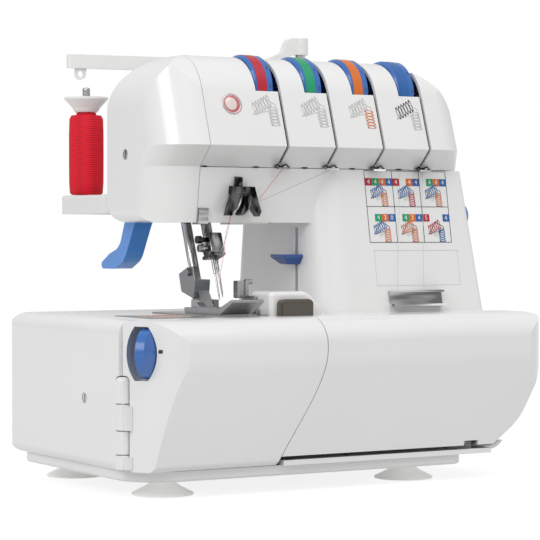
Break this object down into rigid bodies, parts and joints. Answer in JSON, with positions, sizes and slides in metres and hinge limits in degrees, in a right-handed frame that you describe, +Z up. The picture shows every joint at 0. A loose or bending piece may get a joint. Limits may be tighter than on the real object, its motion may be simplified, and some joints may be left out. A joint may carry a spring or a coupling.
{
  "type": "overlock sewing machine",
  "caption": "Free-standing domestic overlock sewing machine with hinged front covers, tension dials, a spool tray with telescopic mast, and its needle, looper, knife and drive parts inside.",
  "frame": {"origin": "on the table under the middle of the whole machine's box", "axes": "+X to the right as the sewer sits, +Y to the back, +Z up"},
  "size_m": [0.306, 0.208, 0.296],
  "materials": {
    "white_plastic": "glossy white moulding",
    "white_rubber": "milky white rubber",
    "blue_plastic": "glossy blue",
    "bright_steel": "bright plated",
    "plain_steel": "ground steel",
    "cast_frame": "as cast",
    "motor_grey": "satin grey",
    "belt_rubber": "black rubber",
    "black_plastic": "black moulding",
    "smoked_plastic": "clear smoked",
    "lamp_lens": "milky lens",
    "red_thread": "wound polyester thread",
    "grey_thread": "wound polyester thread"
  },
  "bodies": {
    "frame": {"suction_feet": "white_rubber", "base_plate": "white_plastic", "chassis": "cast_frame", "bed_shell": "white_plastic", "body_cover": "white_plastic", "tension_panel": "white_plastic", "rear_cover": "white_plastic", "face_cover": "white_plastic", "fasteners": "bright_steel", "tension_shaft": "plain_steel", "motor": "motor_grey", "drive_belts": "belt_rubber", "needle_plate": "bright_steel", "lower_knife": "plain_steel", "hump_cover": "white_plastic", "chip_guard": "smoked_plastic", "power_inlet": "black_plastic", "spool_stand": "white_plastic", "spool_pins": "bright_steel", "spool_caps": "white_plastic", "mast_tube": "bright_steel", "thread_guides": "bright_steel", "needle_guide": "black_plastic", "sewing_lamp": "lamp_lens"},
    "side_door": {"side_cover": "white_plastic", "cloth_plate": "bright_steel"},
    "width_knob": {"width_dial": "blue_plastic"},
    "cover_slider": {"cover_rod": "plain_steel"},
    "looper_door": {"looper_cover": "white_plastic"},
    "wheel": {"handwheel": "blue_plastic", "wheel_shaft": "plain_steel"},
    "lower_drive": {"lower_shaft": "plain_steel"},
    "motor_drive": {"motor_pulley": "plain_steel"},
    "needle_carrier": {"needle_bar": "bright_steel", "needle_clamp": "bright_steel", "needles": "bright_steel"},
    "needle_rocker": {"needle_lever": "plain_steel"},
    "low_looper_arm": {"lower_looper": "plain_steel"},
    "up_looper_arm": {"upper_looper": "plain_steel"},
    "knife_arm": {"upper_knife": "plain_steel"},
    "feed_bar": {"feed_dogs": "plain_steel"},
    "foot_carrier": {"presser_bar": "bright_steel", "presser_ankle": "bright_steel", "presser_foot": "bright_steel"},
    "lifter": {"presser_lifter": "blue_plastic"},
    "knife_button": {"knife_release": "blue_plastic"},
    "stitch_knob": {"stitch_dial": "blue_plastic"},
    "differential_arm": {"differential_lever": "blue_plastic"},
    "switch_rocker": {"power_switch": "black_plastic"},
    "mast_mid": {"mast_middle": "bright_steel"},
    "mast_top": {"mast_rod": "bright_steel", "guide_bar": "white_plastic"},
    "dial_1": {"tension_dial_1": "blue_plastic"},
    "spool_1": {"thread_spool_1": "red_thread"},
    "dial_2": {"tension_dial_2": "blue_plastic"},
    "spool_2": {"thread_spool_2": "grey_thread"},
    "dial_3": {"tension_dial_3": "blue_plastic"},
    "spool_3": {"thread_spool_3": "grey_thread"},
    "dial_4": {"tension_dial_4": "blue_plastic"},
    "spool_4": {"thread_spool_4": "grey_thread"}
  },
  "joints": [
    {"name": "side_cover_swing", "type": "hinge", "parent": "frame", "child": "side_door", "pos_m": [-0.1485, -0.0777, 0.046], "axis": [0, 0, 1], "range_deg": [-95, 0]},
    {"name": "width_dial_turn", "type": "hinge", "parent": "side_door", "child": "width_knob", "pos_m": [-0.13684, -0.08749, 0.088], "axis": [-0.6691, 0.7431, 0], "range_deg": [-60, 60]},
    {"name": "looper_cover_slide", "type": "slide", "parent": "frame", "child": "cover_slider", "axis": [1, 0, 0], "range_m": [0, 0.007]},
    {"name": "looper_cover_fold", "type": "hinge", "parent": "cover_slider", "child": "looper_door", "pos_m": [0.03, -0.0913, 0.0264], "axis": [1, 0, 0], "range_deg": [0, 75]},
    {"name": "handwheel_turn", "type": "hinge", "parent": "frame", "child": "wheel", "pos_m": [0.1, -0.006, 0.171], "axis": [1, 0, 0], "continuous": true},
    {"name": "lower_shaft_turn", "type": "hinge", "parent": "frame", "child": "lower_drive", "pos_m": [0, 0.018, 0.058], "axis": [1, 0, 0], "continuous": true},
    {"name": "motor_turn", "type": "hinge", "parent": "frame", "child": "motor_drive", "pos_m": [0.066, 0.05, 0.05], "axis": [1, 0, 0], "continuous": true},
    {"name": "needle_bar_slide", "type": "slide", "parent": "frame", "child": "needle_carrier", "axis": [0, 0.342, 0.9397], "range_m": [-0.02, 0.006]},
    {"name": "needle_lever_rock", "type": "hinge", "parent": "frame", "child": "needle_rocker", "pos_m": [-0.004, -0.01812, 0.21022], "axis": [0, 0.9397, -0.342], "range_deg": [-19.5, 6]},
    {"name": "lower_looper_swing", "type": "hinge", "parent": "frame", "child": "low_looper_arm", "pos_m": [-0.074, -0.045, 0.062], "axis": [0, 1, 0], "range_deg": [-20.5, 6.5]},
    {"name": "upper_looper_swing", "type": "hinge", "parent": "frame", "child": "up_looper_arm", "pos_m": [-0.03, -0.061, 0.062], "axis": [0, 1, 0], "range_deg": [-4, 12.5]},
    {"name": "upper_knife_swing", "type": "hinge", "parent": "frame", "child": "knife_arm", "pos_m": [-0.05, -0.018, 0.084], "axis": [1, 0, 0], "range_deg": [-2, 6.5]},
    {"name": "feed_slide", "type": "slide", "parent": "frame", "child": "feed_bar", "axis": [0, 1, 0], "range_m": [-0.0031, 0.001]},
    {"name": "presser_lift", "type": "hinge", "parent": "frame", "child": "lifter", "pos_m": [-0.088, 0.012, 0.178], "axis": [1, 0, 0], "range_deg": [0, 20]},
    {"name": "presser_bar_slide", "type": "slide", "parent": "frame", "child": "foot_carrier", "axis": [0, 0.342, 0.9397], "range_m": [0, 0.0061]},
    {"name": "knife_release_slide", "type": "slide", "parent": "frame", "child": "knife_button", "axis": [0, 0, 1], "range_m": [-0.014, 0.014]},
    {"name": "stitch_dial_turn", "type": "hinge", "parent": "frame", "child": "stitch_knob", "pos_m": [0.12, -0.03, 0.128], "axis": [1, 0, 0], "range_deg": [-120, 120]},
    {"name": "differential_swing", "type": "hinge", "parent": "frame", "child": "differential_arm", "pos_m": [0.106, 0.022, 0.128], "axis": [0, 0, 1], "range_deg": [-20, 20]},
    {"name": "switch_rock", "type": "hinge", "parent": "frame", "child": "switch_rocker", "pos_m": [0.132, -0.005, 0.052], "axis": [0, 0, 1], "range_deg": [-6, 6]},
    {"name": "mast_middle_slide", "type": "slide", "parent": "frame", "child": "mast_mid", "axis": [0, 0, 1], "range_m": [0, 0.065]},
    {"name": "mast_rod_slide", "type": "slide", "parent": "mast_mid", "child": "mast_top", "axis": [0, 0, 1], "range_m": [0, 0.065]},
    {"name": "tension_dial_1_turn", "type": "hinge", "parent": "frame", "child": "dial_1", "pos_m": [-0.0315, -0.022, 0.25], "axis": [1, 0, 0], "range_deg": [-150, 150]},
    {"name": "tension_dial_2_turn", "type": "hinge", "parent": "frame", "child": "dial_2", "pos_m": [0.0048, -0.022, 0.25], "axis": [1, 0, 0], "range_deg": [-150, 150]},
    {"name": "tension_dial_3_turn", "type": "hinge", "parent": "frame", "child": "dial_3", "pos_m": [0.0411, -0.022, 0.25], "axis": [1, 0, 0], "range_deg": [-150, 150]},
    {"name": "tension_dial_4_turn", "type": "hinge", "parent": "frame", "child": "dial_4", "pos_m": [0.0774, -0.022, 0.25], "axis": [1, 0, 0], "range_deg": [-150, 150]},
    {"name": "spool_1_turn", "type": "hinge", "parent": "frame", "child": "spool_1", "pos_m": [-0.092, 0.086, 0.21], "axis": [0, 0, 1], "continuous": true},
    {"name": "spool_2_turn", "type": "hinge", "parent": "frame", "child": "spool_2", "pos_m": [-0.046, 0.086, 0.21], "axis": [0, 0, 1], "continuous": true},
    {"name": "spool_3_turn", "type": "hinge", "parent": "frame", "child": "spool_3", "pos_m": [0, 0.086, 0.21], "axis": [0, 0, 1], "continuous": true},
    {"name": "spool_4_turn", "type": "hinge", "parent": "frame", "child": "spool_4", "pos_m": [0.046, 0.086, 0.21], "axis": [0, 0, 1], "continuous": true}
  ],
  "couplings": [
    {"joint": "lower_shaft_turn", "follows": "handwheel_turn", "ratio": 1},
    {"joint": "motor_turn", "follows": "handwheel_turn", "ratio": 2.75},
    {"joint": "needle_lever_rock", "follows": "needle_bar_slide", "rad_per_m": 16.667},
    {"joint": "lower_looper_swing", "follows": "needle_bar_slide", "rad_per_m": 17.453},
    {"joint": "upper_looper_swing", "follows": "needle_bar_slide", "rad_per_m": -10.472},
    {"joint": "upper_knife_swing", "follows": "needle_bar_slide", "rad_per_m": -5.236},
    {"joint": "feed_slide", "follows": "needle_bar_slide", "ratio": 0.15},
    {"joint": "presser_bar_slide", "follows": "presser_lift", "m_per_rad": 0.0171}
  ]
}
